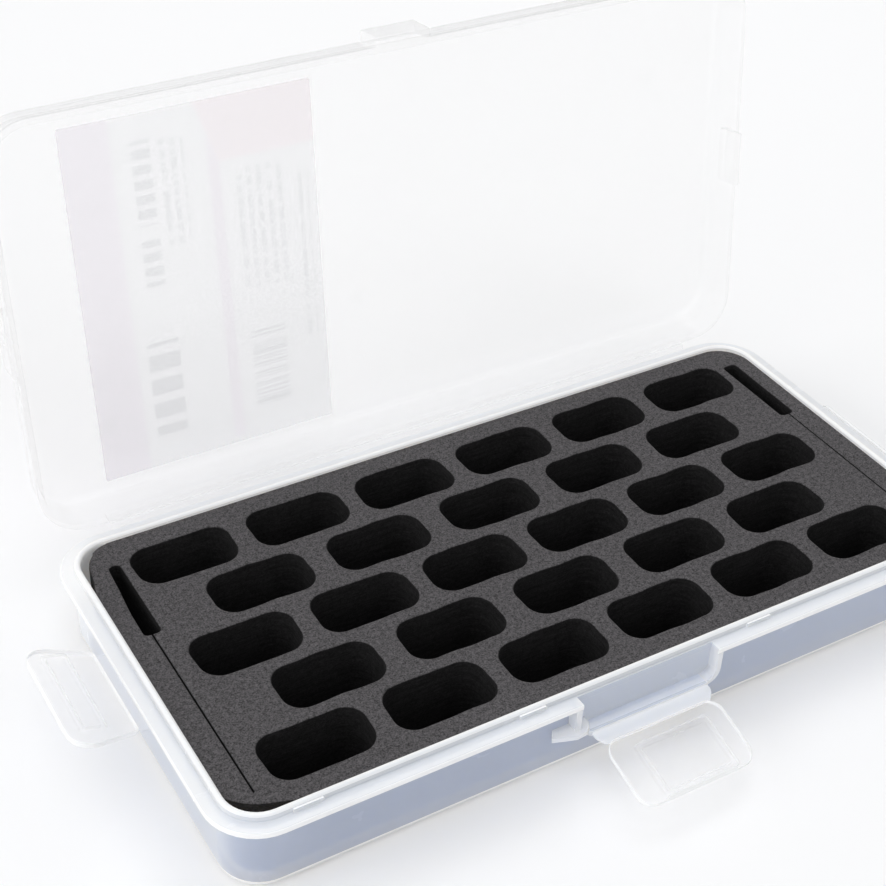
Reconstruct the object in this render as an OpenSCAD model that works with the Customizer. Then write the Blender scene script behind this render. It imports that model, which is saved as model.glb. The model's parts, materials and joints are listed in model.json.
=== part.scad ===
// Bobbin box: a shallow moulded polypropylene tray with a lid and three snap latches, all joined
// by living hinges, and a foam insert with a brick pattern of bobbin pockets.
// The origin is the centre of the tray's underside. +X runs along the box, the lid's hinge is at
// the back (+Y), and +Z is up. Everything is drawn at rest: lid open, latches hanging open.

/* [Tray] */
// Outer length of the tray's wall
tray_length = 175; // [174:0.5:190]
// Outer width of the tray's wall
tray_width = 85.6; // [85:0.2:95]
// Outer corner radius of the tray's wall
tray_corner = 8.7; // [8:0.1:10]
// Thickness of the tray's wall
tray_wall = 1.4; // [1:0.1:1.6]
// Thickness of the tray's floor
tray_floor = 1.2; // [0.8:0.1:1.6]
// Radius of the tray's bottom edge
bottom_radius = 2; // [1.5:0.1:3]
// Height of the flange's top above the table
flange_top = 17.75; // [17:0.05:19]
// How far the flange stands out from the wall
flange_reach = 2.5; // [2:0.1:3]
// Thickness of the flange, the latch ledge and its drop plates
flange_thickness = 1.3; // [1:0.1:1.6]
// Height of the lip above the flange
lip_rise = 1.25; // [1:0.05:1.6]

/* [Front latch seat] */
// Half the width of the gap in the front flange
notch_half_width = 16.1; // [15.5:0.1:18]
// Height of the sunk ledge's top above the table
ledge_top = 10; // [9.5:0.1:11]
// How far the ledge stands out from the wall
ledge_reach = 3; // [2.6:0.1:3.4]
// Half the width of the ledge's front edge
ledge_half_width = 14.3; // [14:0.1:15]
// Places of the snap beads along the front lip
bead_places = [-73, -26, 28, 73];
// Length of a snap bead
bead_length = 6; // [3:0.5:8]
// How far a snap bead stands out from the lip
bead_reach = 0.3; // [0.2:0.05:0.4]

/* [Foam] */
// Thickness of the floor pad
pad_thickness = 2; // [1:0.1:3]
// Thickness of the pocketed insert
insert_thickness = 15; // [12:0.1:15.4]
// Gap all round between the foam and the wall
foam_gap = 0.2; // [0.1:0.05:0.4]
// Length of a bobbin pocket
pocket_length = 21.8; // [20:0.1:23]
// Width of a bobbin pocket
pocket_width = 12.1; // [11:0.1:13]
// Corner radius of a bobbin pocket
pocket_corner = 4.2; // [2:0.1:5.4]
// Pockets in the rows next to the front, in the middle and next to the back
full_row_pockets = 6; // [4:1:6]
// Distance between pockets in a full row
full_row_pitch = 26; // [25:0.1:27]
// Distance between pockets in the rows between, which hold one pocket fewer
short_row_pitch = 27.4; // [26:0.1:28]
// Distance between rows
row_pitch = 15; // [14:0.1:15.2]
// Distance of the end slots from the middle
end_slot_offset = 79.9; // [79:0.1:80.5]
// Width of an end slot
end_slot_width = 3.6; // [2:0.1:4]
// Where an end slot starts and ends along Y
end_slot_span = [11, 33.6];
// Width of the knife slit that runs on from an end slot
slit_width = 0.35; // [0.3:0.05:0.6]
// Where the slit ends along Y
slit_end = -35.3; // [-36:0.1:-20]

/* [Lid] */
// Outer length of the lid at its rim
lid_length = 178; // [178:0.1:179]
// Outer width of the lid at its rim
lid_width = 89.6; // [89.4:0.1:89.8]
// Outer corner radius of the lid at its rim
lid_corner = 10; // [9:0.1:11]
// Outer depth of the lid
lid_depth = 10; // [9:0.1:12]
// Thickness of the lid's skirt and panel
lid_wall = 1.2; // [1:0.1:1.2]
// Radius of the lid's top edge
lid_top_radius = 2; // [1.5:0.1:3]
// How far the rim bead stands out from the skirt
rim_bead = 0.4; // [0.2:0.05:0.4]
// Height of the rim bead
rim_bead_height = 1.4; // [1:0.1:2]
// Half the length of the hinge
hinge_half_length = 75; // [60:1:76]
// How far the lid stands open from closed
lid_open_angle = 97; // [0:1:180]

/* [Label] */
// Where the label starts and ends along X
label_span_x = [-71.5, -17];
// Where the label starts and ends along Y, with the lid closed
label_span_y = [-38, 41.2];
// Thickness of the label
label_thickness = 0.12; // [0.1:0.01:0.3]

/* [Latches] */
// Width of the front latch
front_latch_width = 27; // [26:0.5:28]
// Length of the front latch
front_latch_length = 15.4; // [14:0.1:15.5]
// Corner radius of the front latch
front_latch_corner = 3.3; // [2:0.1:4]
// Width of a side latch by its hinge
side_latch_root_width = 24; // [24:0.5:26]
// Width of a side latch at its free end
side_latch_tip_width = 28; // [26:0.5:30]
// Length of a side latch
side_latch_length = 14; // [13:0.1:14]
// Radius of a side latch's corners by its hinge
side_latch_root_corner = 1.2; // [1:0.1:2]
// Radius of a side latch's corners at its free end
side_latch_tip_corner = 4; // [2:0.1:5]
// Thickness of every latch plate
latch_thickness = 1.3; // [1:0.1:1.3]
// How far the front latch stands open from closed
front_open_angle = 105; // [0:1:129]
// How far the left latch stands open from closed
left_open_angle = 72; // [0:1:180]
// How far the right latch hangs open from closed
right_open_angle = 150; // [0:1:180]

/* [Hidden] */
$fn = 64;

// The gap left between pieces that move on each other
clearance = 0.1;
// Longer than anything that it cuts
overcut = 1;
plastic_colour = [0.88, 0.91, 0.94, 0.55];

lip_top = flange_top + lip_rise;
flange_bottom = flange_top - flange_thickness;
flange_half_x = tray_length / 2 + flange_reach;
flange_half_y = tray_width / 2 + flange_reach;
ledge_bottom = ledge_top - flange_thickness;
ledge_front = -tray_width / 2 - ledge_reach;
drop_plate = 1.4;
drop_corner = 3.3;

foam_length = tray_length - 2 * (tray_wall + foam_gap);
foam_width = tray_width - 2 * (tray_wall + foam_gap);
foam_corner = tray_corner - tray_wall - foam_gap;
insert_bottom = tray_floor + pad_thickness;
// Radius inside the tray's bottom edge, which the floor pad stays clear of
inner_bottom_radius = bottom_radius - tray_wall / 2;
pad_inset = inner_bottom_radius - foam_gap + clearance;

lid_bottom = flange_top + clearance;
lid_top = lid_bottom + lid_depth;
lid_half_x = lid_length / 2;
lid_half_y = lid_width / 2;
leaf_thickness = 0.5;
leaf_height = 3;
lid_hinge = [0, flange_half_y + 0.7, flange_top + 0.05];

tab_half_width = 6.3;
tab_reach = 1.9;
tab_height = 7.35;
side_catch_half_width = 6.5;
side_catch_reach = 0.9;
side_catch_height = 6.15;

film_thickness = 0.35;
front_neck = 1.55;
front_pivot = [0, ledge_front - front_neck, ledge_top - 0.3];
// Inner face of the front latch when closed, just clear of the lid's front tab
front_face_y = -lid_half_y - tab_reach - 0.25;
front_rib_inner = [15, 9.8];
front_rib_width = 1.2;
front_rib_height = 1.2;

side_neck = 1.2;
side_pivot = [flange_half_x + side_neck, 0, flange_bottom + 0.3];
// Inner face of a side latch when closed, just clear of the lid's side catch
side_face_x = lid_half_x + side_catch_reach + 0.15;
side_rib_height = 0.85;
side_rib_width = 1;
side_rib_size = [22.2, 5.4];

// A block with rounded upright corners, centred on the origin and standing on z = 0
module rounded_block(length, width, height, corner) {
    linear_extrude(height) rounded_outline(length, width, corner);
}

// A rectangle with four rounded corners
module rounded_outline(length, width, corner) {
    square([length, width - 2 * corner], center = true);
    square([length - 2 * corner, width], center = true);
    for (x = [-1, 1], y = [-1, 1])
        translate([x * (length / 2 - corner), y * (width / 2 - corner)]) circle(corner);
}

// Sweeps a wall section round a rounded rectangle. The section's x is counted outward from the
// corner's centre, and its y is the height.
module swept_wall(length, width, corner) {
    runs = [length / 2 - corner, width / 2 - corner];
    for (turn = [0:3])
        rotate(90 * turn) translate([runs[turn % 2], 0, 0]) {
            along = runs[(turn + 1) % 2];
            rotate([90, 0, 0]) linear_extrude(2 * along, center = true) children();
            translate([0, along, 0]) rotate_extrude(angle = 90) children();
        }
}

// A quarter of a shell's section: square at the centre line, rounded where side meets floor
module rounded_section(reach, height, radius) {
    square([reach - radius, height]);
    translate([0, radius]) square([reach, height - radius]);
    translate([reach - radius, radius]) circle(radius);
}

// Turns its children about a hinge through pivot, along X
module turned_x(pivot, angle) {
    translate(pivot) rotate([angle, 0, 0]) translate(-pivot) children();
}

// Turns its children about a hinge through pivot, along Y
module turned_y(pivot, angle) {
    translate(pivot) rotate([0, angle, 0]) translate(-pivot) children();
}

// Section through floor, wall, flange and lip
module tray_section() {
    inner = tray_corner - tray_wall;
    lip_round = tray_wall / 2;
    difference() {
        rounded_section(tray_corner, lip_top - lip_round, bottom_radius);
        translate([0, tray_floor])
            rounded_section(inner, lip_top, inner_bottom_radius);
    }
    translate([inner + lip_round, lip_top - lip_round]) circle(lip_round);
    translate([inner, flange_bottom]) square([flange_reach + tray_wall, flange_thickness]);
}

// The two drop plates and the sunk ledge between them, which carry the front latch
module latch_seat() {
    outer_half = notch_half_width + drop_plate;
    inner_corner = drop_corner - drop_plate;
    front = -flange_half_y;
    translate([0, -tray_width / 2, 0]) rotate([90, 0, 0]) linear_extrude(flange_reach)
        difference() {
            translate([-outer_half, ledge_bottom]) union() {
                translate([drop_corner, 0])
                    square([2 * (outer_half - drop_corner), flange_top - ledge_bottom]);
                translate([0, drop_corner])
                    square([2 * outer_half, flange_top - ledge_bottom - drop_corner]);
                for (x = [drop_corner, 2 * outer_half - drop_corner])
                    translate([x, drop_corner]) circle(drop_corner);
            }
            translate([-notch_half_width, ledge_top]) union() {
                translate([inner_corner, 0])
                    square([2 * (notch_half_width - inner_corner), flange_top]);
                translate([0, inner_corner]) square([2 * notch_half_width, flange_top]);
                for (x = [inner_corner, 2 * notch_half_width - inner_corner])
                    translate([x, inner_corner]) circle(inner_corner);
            }
        }
    translate([-ledge_half_width, ledge_front, ledge_bottom])
        cube([2 * ledge_half_width, ledge_reach, flange_thickness]);
}

// The small wedge left of the ledge, a step higher
module ledge_foot() {
    wall_y = -tray_width / 2 + tray_wall / 2;
    translate([0, 0, ledge_top - 0.3]) linear_extrude(flange_thickness)
        polygon([
            [-21, wall_y], [-22.6, wall_y - 2.5], [-17.5, ledge_front - 0.7],
            [-ledge_half_width, ledge_front], [-ledge_half_width, wall_y]
        ]);
}

module snap_beads() {
    for (x = bead_places)
        translate([x - bead_length / 2, -tray_width / 2 - bead_reach, flange_top])
            cube([bead_length, bead_reach + tray_wall / 2, lip_rise / 2]);
}

module base_tray() {
    color(plastic_colour) {
        difference() {
            union() {
                swept_wall(tray_length, tray_width, tray_corner) tray_section();
                translate([tray_corner - tray_length / 2, tray_corner - tray_width / 2, 0])
                    cube([tray_length - 2 * tray_corner, tray_width - 2 * tray_corner, tray_floor]);
            }
            translate([-notch_half_width, -flange_half_y - overcut, flange_bottom - overcut])
                cube([2 * notch_half_width, flange_reach + overcut, flange_thickness + 2 * overcut]);
        }
        latch_seat();
        ledge_foot();
        snap_beads();
    }
}

// One row of pockets, cut right through the insert
module pocket_row(count, pitch) {
    for (i = [0:count - 1])
        translate([(i - (count - 1) / 2) * pitch, 0, -overcut])
            rounded_block(pocket_length, pocket_width, insert_thickness + 2 * overcut, pocket_corner);
}

// The slot and the knife slit at one end of the insert
module end_cuts() {
    slot_length = end_slot_span[1] - end_slot_span[0];
    depth = insert_thickness + 2 * overcut;
    translate([end_slot_offset, (end_slot_span[0] + end_slot_span[1]) / 2, -overcut])
        rounded_block(end_slot_width, slot_length, depth, end_slot_width / 4);
    translate([end_slot_offset - slit_width / 2, slit_end, -overcut])
        cube([slit_width, end_slot_span[0] - slit_end + overcut, depth]);
}

module foam_insert() {
    color([0.12, 0.12, 0.125])
        translate([0, 0, insert_bottom]) difference() {
            rounded_block(foam_length, foam_width, insert_thickness, foam_corner);
            for (row = [-2, 0, 2])
                translate([0, row * row_pitch, 0]) pocket_row(full_row_pockets, full_row_pitch);
            for (row = [-1, 1])
                translate([0, row * row_pitch, 0]) pocket_row(full_row_pockets - 1, short_row_pitch);
            end_cuts();
            mirror([1, 0, 0]) end_cuts();
        }
}

module foam_floor_pad() {
    color([0.1, 0.1, 0.105])
        translate([0, 0, tray_floor])
            rounded_block(foam_length - 2 * pad_inset, foam_width - 2 * pad_inset, pad_thickness,
                          foam_corner - pad_inset);
}

// Section through the lid's panel, skirt and rim bead, with the panel at the top
module lid_section() {
    reach = lid_corner - rim_bead;
    translate([0, lid_top]) mirror([0, 1]) {
        difference() {
            rounded_section(reach, lid_depth, lid_top_radius);
            translate([0, lid_wall])
                rounded_section(reach - lid_wall + rim_bead, lid_depth, lid_top_radius - lid_wall / 2);
        }
        translate([reach - lid_wall + rim_bead, lid_depth - rim_bead_height])
            square([lid_wall, rim_bead_height]);
    }
}

// The lid as it lies when closed
module closed_lid() {
    swept_wall(lid_length, lid_width, lid_corner) lid_section();
    translate([lid_corner - lid_half_x, lid_corner - lid_half_y, lid_top - lid_wall])
        cube([lid_length - 2 * lid_corner, lid_width - 2 * lid_corner, lid_wall]);
    translate([-hinge_half_length, lid_half_y - lid_wall, lid_bottom])
        cube([2 * hinge_half_length, lid_wall + leaf_thickness, leaf_height]);
    translate([-tab_half_width, -lid_half_y - tab_reach, lid_bottom])
        cube([2 * tab_half_width, tab_reach + lid_wall, tab_height]);
    for (side = [-1, 1])
        translate([side * (lid_half_x + side_catch_reach / 2 - lid_wall / 2), 0,
                   lid_bottom + side_catch_height / 2])
            cube([side_catch_reach + lid_wall, 2 * side_catch_half_width, side_catch_height],
                 center = true);
}

module lid() {
    color(plastic_colour) turned_x(lid_hinge, -lid_open_angle) closed_lid();
}

module label() {
    color([0.9, 0.82, 0.88]) turned_x(lid_hinge, -lid_open_angle)
        translate([label_span_x[0], label_span_y[0], lid_top])
            cube([label_span_x[1] - label_span_x[0], label_span_y[1] - label_span_y[0],
                  label_thickness]);
}

module lid_hinge_film() {
    color(plastic_colour)
        translate([-hinge_half_length, flange_half_y, flange_top - film_thickness])
            cube([2 * hinge_half_length, lid_hinge[1] - flange_half_y - clearance, film_thickness]);
}

module front_latch_film() {
    color(plastic_colour)
        translate([-ledge_half_width, front_pivot[1] - front_neck + 6 * clearance,
                   ledge_top - film_thickness - clearance])
            cube([2 * ledge_half_width, 2 * front_neck - 6 * clearance, film_thickness]);
}

// The front latch standing closed against the lid
module closed_front_latch() {
    plate_bottom = front_pivot[2] + front_neck;
    rib_outer = front_rib_inner + 2 * [front_rib_width, front_rib_width];
    // Height of the catching rib's lower edge, just over the lid's tab
    hook_height = lid_bottom + tab_height + 1.5 * clearance;
    rib_centre = hook_height - front_rib_inner[1] / 2;
    translate([0, front_face_y, plate_bottom + front_latch_length / 2]) rotate([90, 0, 0])
        rounded_block(front_latch_width, front_latch_length, latch_thickness, front_latch_corner);
    translate([0, front_face_y, rib_centre]) rotate([-90, 0, 0])
        linear_extrude(front_rib_height) difference() {
            square(rib_outer, center = true);
            square(front_rib_inner, center = true);
        }
}

module front_latch() {
    color(plastic_colour) turned_x(front_pivot, front_open_angle) closed_front_latch();
}

// A plate's outline from y = 0, wider at its far end, with its own corner radius at each end
module flared_outline(near_half, far_half, length, near_corner, far_corner) {
    near = [near_half - near_corner, near_corner];
    far = [far_half - far_corner, length - far_corner];
    lean = atan2(far[1] - near[1], far[0] - near[0])
           - acos((near_corner - far_corner) / norm(far - near));
    near_touch = near + near_corner * [cos(lean), sin(lean)];
    far_touch = far + far_corner * [cos(lean), sin(lean)];
    polygon([
        [near[0], 0], near_touch, far_touch, [far[0], length],
        [-far[0], length], [-far_touch[0], far_touch[1]],
        [-near_touch[0], near_touch[1]], [-near[0], 0]
    ]);
    for (side = [-1, 1]) {
        translate([side * near[0], near[1]]) circle(near_corner);
        translate([side * far[0], far[1]]) circle(far_corner);
    }
}

// The right-hand side latch standing closed against the lid
module closed_side_latch() {
    plate_bottom = side_pivot[2] + side_neck;
    hook_height = lid_bottom + side_catch_height + clearance;
    translate([side_face_x, 0, plate_bottom]) rotate([90, 0, 90])
        linear_extrude(latch_thickness)
            flared_outline(side_latch_root_width / 2, side_latch_tip_width / 2, side_latch_length,
                           side_latch_root_corner, side_latch_tip_corner);
    // The rib nearest the hinge closes over the lid's catch, and the rest frame a thumb grip
    translate([side_face_x - side_rib_height, 0, hook_height + side_rib_size[1] / 2])
        rotate([90, 0, 90]) linear_extrude(side_rib_height) difference() {
            square(side_rib_size, center = true);
            square(side_rib_size - 2 * [side_rib_width, side_rib_width], center = true);
        }
}

module right_latch() {
    color(plastic_colour) turned_y(side_pivot, right_open_angle) closed_side_latch();
}

module left_latch() {
    color(plastic_colour) mirror([1, 0, 0])
        turned_y(side_pivot, left_open_angle) closed_side_latch();
}

module right_latch_film() {
    color(plastic_colour)
        translate([flange_half_x, side_latch_root_corner - side_latch_root_width / 2,
                   side_pivot[2] - film_thickness / 2])
            cube([side_neck - clearance, side_latch_root_width - 2 * side_latch_root_corner,
                  film_thickness]);
}

module left_latch_film() {
    mirror([1, 0, 0]) right_latch_film();
}

base_tray();
foam_insert();
foam_floor_pad();
lid();
label();
lid_hinge_film();
front_latch();
front_latch_film();
left_latch();
left_latch_film();
right_latch();
right_latch_film();
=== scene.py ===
"""Looks of the bobbin box: milky polypropylene, black foam and a paper label.

Lengths are in metres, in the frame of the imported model. The lid and the latches are built in
their closed places and then turned to rest about their own joints.
"""

import json
import math

import bmesh
import bpy
from mathutils import Matrix, Vector


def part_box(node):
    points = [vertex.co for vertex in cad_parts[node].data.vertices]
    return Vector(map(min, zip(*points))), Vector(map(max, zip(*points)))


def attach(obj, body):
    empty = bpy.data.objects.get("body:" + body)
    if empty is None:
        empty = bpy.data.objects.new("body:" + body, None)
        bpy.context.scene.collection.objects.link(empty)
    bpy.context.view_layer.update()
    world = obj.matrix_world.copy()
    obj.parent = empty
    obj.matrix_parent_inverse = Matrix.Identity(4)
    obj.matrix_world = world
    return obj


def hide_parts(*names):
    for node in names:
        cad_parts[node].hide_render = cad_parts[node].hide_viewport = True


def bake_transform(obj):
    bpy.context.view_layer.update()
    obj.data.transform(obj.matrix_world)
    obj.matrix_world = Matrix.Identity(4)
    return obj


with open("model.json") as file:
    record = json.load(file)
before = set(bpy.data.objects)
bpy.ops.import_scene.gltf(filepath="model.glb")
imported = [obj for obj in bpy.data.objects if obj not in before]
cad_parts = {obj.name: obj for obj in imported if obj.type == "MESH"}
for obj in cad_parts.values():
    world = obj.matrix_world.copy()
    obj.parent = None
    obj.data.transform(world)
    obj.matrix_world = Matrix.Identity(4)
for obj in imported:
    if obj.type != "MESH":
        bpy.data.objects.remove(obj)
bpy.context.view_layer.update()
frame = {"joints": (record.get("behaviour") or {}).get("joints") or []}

MM = 0.001
JOINTS = {joint["name"]: joint for joint in frame["joints"]}


# ---------------------------------------------------------------- sizes

TRAY_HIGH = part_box("base_tray")[1]
FOAM_LOW, FOAM_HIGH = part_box("foam_insert")
PAD_LOW, PAD_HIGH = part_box("foam_floor_pad")
LABEL_LOW, LABEL_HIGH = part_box("label")

# The tray: its wall, the flange round it, the lip above it and the sunk ledge in front.
FLANGE_X = TRAY_HIGH.x
FLANGE_Y = TRAY_HIGH.y
LIP_TOP = TRAY_HIGH.z
LIP_PEAK = LIP_TOP + 0.15 * MM
LIP_STEP = 0.45 * MM
FLANGE_REACH = 2.5 * MM
FLANGE_THICK = 1.3 * MM
WALL_X = FLANGE_X - FLANGE_REACH
WALL_Y = FLANGE_Y - FLANGE_REACH
WALL_CORNER = 8.7 * MM
FLANGE_TOP = LIP_TOP - 1.25 * MM
FLANGE_BOTTOM = FLANGE_TOP - FLANGE_THICK
TRAY_FLOOR = PAD_LOW.z
LEDGE_TOP = 10.0 * MM
LEDGE_BOTTOM = LEDGE_TOP - FLANGE_THICK
NOTCH_HALF = 16.1 * MM
DROP_PLATE = 1.4 * MM
LEDGE_FRONT = -WALL_Y - 3.0 * MM
BEAD_CENTRES = (-73.0 * MM, -26.0 * MM, 28.0 * MM, 73.0 * MM)
BEAD_HALF = 3.0 * MM

# The lid in its closed place.
LID_X = 89.0 * MM
LID_Y = 44.8 * MM
LID_CORNER = 10.0 * MM
LID_BOTTOM = FLANGE_TOP + 0.1 * MM
LID_DEPTH = 10.0 * MM
LID_TOP = LID_BOTTOM + LID_DEPTH
LID_WALL = 1.15 * MM
HINGE_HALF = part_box("lid_hinge_film")[1].x

# The latches in their closed places. A neck is how far a flap's lower edge is above its joint,
# and a gap is how far its inner face stands from the lid's wall.
FLAP_THICK = 1.3 * MM
FLAP_EDGE = 0.4 * MM
FRONT_NECK = 1.55 * MM
FRONT_GAP = 2.15 * MM
FRONT_HALF_WIDTH = 13.5 * MM
FRONT_HALF_HEIGHT = 7.7 * MM
SIDE_NECK = 1.2 * MM
SIDE_GAP = 1.05 * MM
SIDE_ROOT_HALF = 12.0 * MM
SIDE_TIP_HALF = 14.0 * MM
SIDE_HEIGHT = 14.0 * MM

# The foam and its pockets. A row is how many pockets it has and how far apart they are.
FOAM_CORNER = 8.0 * MM
POCKET = (21.8 * MM, 12.1 * MM)
POCKET_CORNER = 4.2 * MM
ROW_PITCH = 15.0 * MM
FULL_ROW = (6, 26.0 * MM)
SHORT_ROW = (5, 27.4 * MM)


# ---------------------------------------------------------------- mesh helpers


def new_object(name, mesh):
    """A linked object that holds mesh."""
    piece = bpy.data.objects.new(name, mesh)
    bpy.context.scene.collection.objects.link(piece)
    return piece


def mesh_from(name, bm):
    """An object from a bmesh, with its normals facing out."""
    bmesh.ops.recalc_face_normals(bm, faces=bm.faces)
    mesh = bpy.data.meshes.new(name)
    bm.to_mesh(mesh)
    bm.free()
    return new_object(name, mesh)


def smooth(piece, angle=38.0):
    """Smooth shading, with edges sharper than angle kept crisp and large faces kept flat."""
    piece.data.shade_smooth()
    piece.data.set_sharp_from_angle(angle=math.radians(angle))
    weighted = piece.modifiers.new("weighted", "WEIGHTED_NORMAL")
    weighted.keep_sharp = True
    return piece


def arc(centre, radius, start, end, steps=6):
    """Points along a circular arc in a plane, angles in degrees."""
    points = []
    for i in range(steps + 1):
        turn = math.radians(start + (end - start) * i / steps)
        points.append((centre[0] + radius * math.cos(turn), centre[1] + radius * math.sin(turn)))
    return points


def rounded_outline(half_x, half_y, radius, at=(0.0, 0.0), steps=8, spacing=None):
    """A rounded rectangle as a loop of points. With spacing, its sides are split that finely."""
    corners = []
    for sx, sy, start in ((1, 1, 0), (-1, 1, 90), (-1, -1, 180), (1, -1, 270)):
        centre = (at[0] + sx * (half_x - radius), at[1] + sy * (half_y - radius))
        corners.append(arc(centre, radius, start, start + 90, steps))
    loop = []
    for corner, following in zip(corners, corners[1:] + corners[:1]):
        loop += corner
        if spacing:
            a, b = Vector(corner[-1]), Vector(following[0])
            count = max(1, round((b - a).length / spacing))
            loop += [tuple(a.lerp(b, i / count)) for i in range(1, count)]
    return loop


def lofted(name, half_x, half_y, corner, profile):
    """A closed shell from a section of (inset, height) points swept round a rounded rectangle.

    The first and last rings are capped, so the section runs from one middle to the other.
    """
    corner_steps, side_steps = 10, 12
    least_radius, least_side = 0.3 * MM, 12 * MM
    bm = bmesh.new()
    rings = []
    for inset, height in profile:
        radius = max(corner - inset, least_radius)
        loop = rounded_outline(half_x - inset, half_y - inset, radius, steps=corner_steps)
        split = []
        for a, b in zip(loop, loop[1:] + loop[:1]):
            split.append(a)
            a, b = Vector(a), Vector(b)
            if (b - a).length > least_side:
                split += [tuple(a.lerp(b, i / side_steps)) for i in range(1, side_steps)]
        rings.append([bm.verts.new((x, y, height)) for x, y in split])
    for low, high in zip(rings, rings[1:]):
        for i in range(len(low)):
            j = (i + 1) % len(low)
            bm.faces.new((low[i], low[j], high[j], high[i]))
    bm.faces.new(rings[0][::-1])
    bm.faces.new(rings[-1])
    return mesh_from(name, bm)


def slab(name, outlines, low, high, edge, edge_steps=3):
    """A plate between two heights from outlines in X and Y, holes included, with rounded edges."""
    curve = bpy.data.curves.new(name, "CURVE")
    curve.dimensions = "2D"
    curve.fill_mode = "BOTH"
    curve.extrude = (high - low) / 2 - edge
    curve.bevel_depth = edge
    curve.bevel_resolution = edge_steps
    curve.offset = -edge
    for outline in outlines:
        spline = curve.splines.new("POLY")
        spline.points.add(len(outline) - 1)
        for point, (x, y) in zip(spline.points, outline):
            point.co = (x, y, 0.0, 1.0)
        spline.use_cyclic_u = True
    source = new_object(name + "_outline", curve)
    graph = bpy.context.evaluated_depsgraph_get()
    mesh = bpy.data.meshes.new_from_object(source.evaluated_get(graph), depsgraph=graph)
    bpy.data.objects.remove(source)
    bpy.data.curves.remove(curve)
    mesh.transform(Matrix.Translation((0, 0, (low + high) / 2)))
    bm = bmesh.new()
    bm.from_mesh(mesh)
    bpy.data.meshes.remove(mesh)
    bmesh.ops.remove_doubles(bm, verts=bm.verts, dist=1e-6)
    return mesh_from(name, bm)


def block(name, low, high, edge):
    """A box between two corners with rounded edges."""
    bm = bmesh.new()
    bmesh.ops.create_cube(bm, size=1.0)
    low, high = Vector(low), Vector(high)
    size = high - low
    for vert in bm.verts:
        vert.co = Vector(c * s for c, s in zip(vert.co, size)) + (low + high) / 2
    bmesh.ops.bevel(bm, geom=bm.edges[:] + bm.verts[:], offset=edge, segments=3, profile=0.5,
                    affect="EDGES")
    return mesh_from(name, bm)


def combine(piece, tool, operation):
    """Adds tool to piece, or cuts it away, and drops tool."""
    change = piece.modifiers.new(operation, "BOOLEAN")
    change.operation = operation
    change.solver = "EXACT"
    change.object = tool
    graph = bpy.context.evaluated_depsgraph_get()
    mesh = bpy.data.meshes.new_from_object(piece.evaluated_get(graph), depsgraph=graph)
    piece.modifiers.clear()
    piece.data = mesh
    bpy.data.objects.remove(tool)
    return piece


def turned(piece, matrix):
    """Moves a piece's mesh by matrix and leaves its object at the origin."""
    piece.data.transform(matrix)
    return piece


def closed_to_rest(joint_name):
    """The turn from a body's closed place, which is its joint's upper limit, to rest."""
    joint = JOINTS[joint_name]
    at = Vector(joint["pos_m"])
    back = Matrix.Rotation(-math.radians(joint["range_deg"][1]), 4, Vector(joint["axis"]))
    return Matrix.Translation(at) @ back @ Matrix.Translation(-at)


# Stands a plate up that was drawn flat: its Y turns to Z, and its Z to -Y.
UPRIGHT = Matrix.Rotation(math.radians(90), 4, "X")


def finish_piece(piece, body, node, material):
    """Gives a piece its material and body, and hides the CAD node it stands for."""
    piece.data.materials.clear()
    piece.data.materials.append(material)
    if body:
        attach(piece, body)
    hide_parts(node)
    return piece


def trim(piece, material, chosen):
    """Gives another material to the faces that chosen(centre, normal) picks."""
    piece.data.materials.append(material)
    index = len(piece.data.materials) - 1
    for face in piece.data.polygons:
        if chosen(face.center, face.normal):
            face.material_index = index
    return piece


def reach_out(place, half_x, half_y, corner):
    """How far a place lies outside a rounded rectangle in X and Y."""
    x = max(abs(place.x) - (half_x - corner), 0.0)
    y = max(abs(place.y) - (half_y - corner), 0.0)
    return math.hypot(x, y) - corner


# ---------------------------------------------------------------- material helpers


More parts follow.
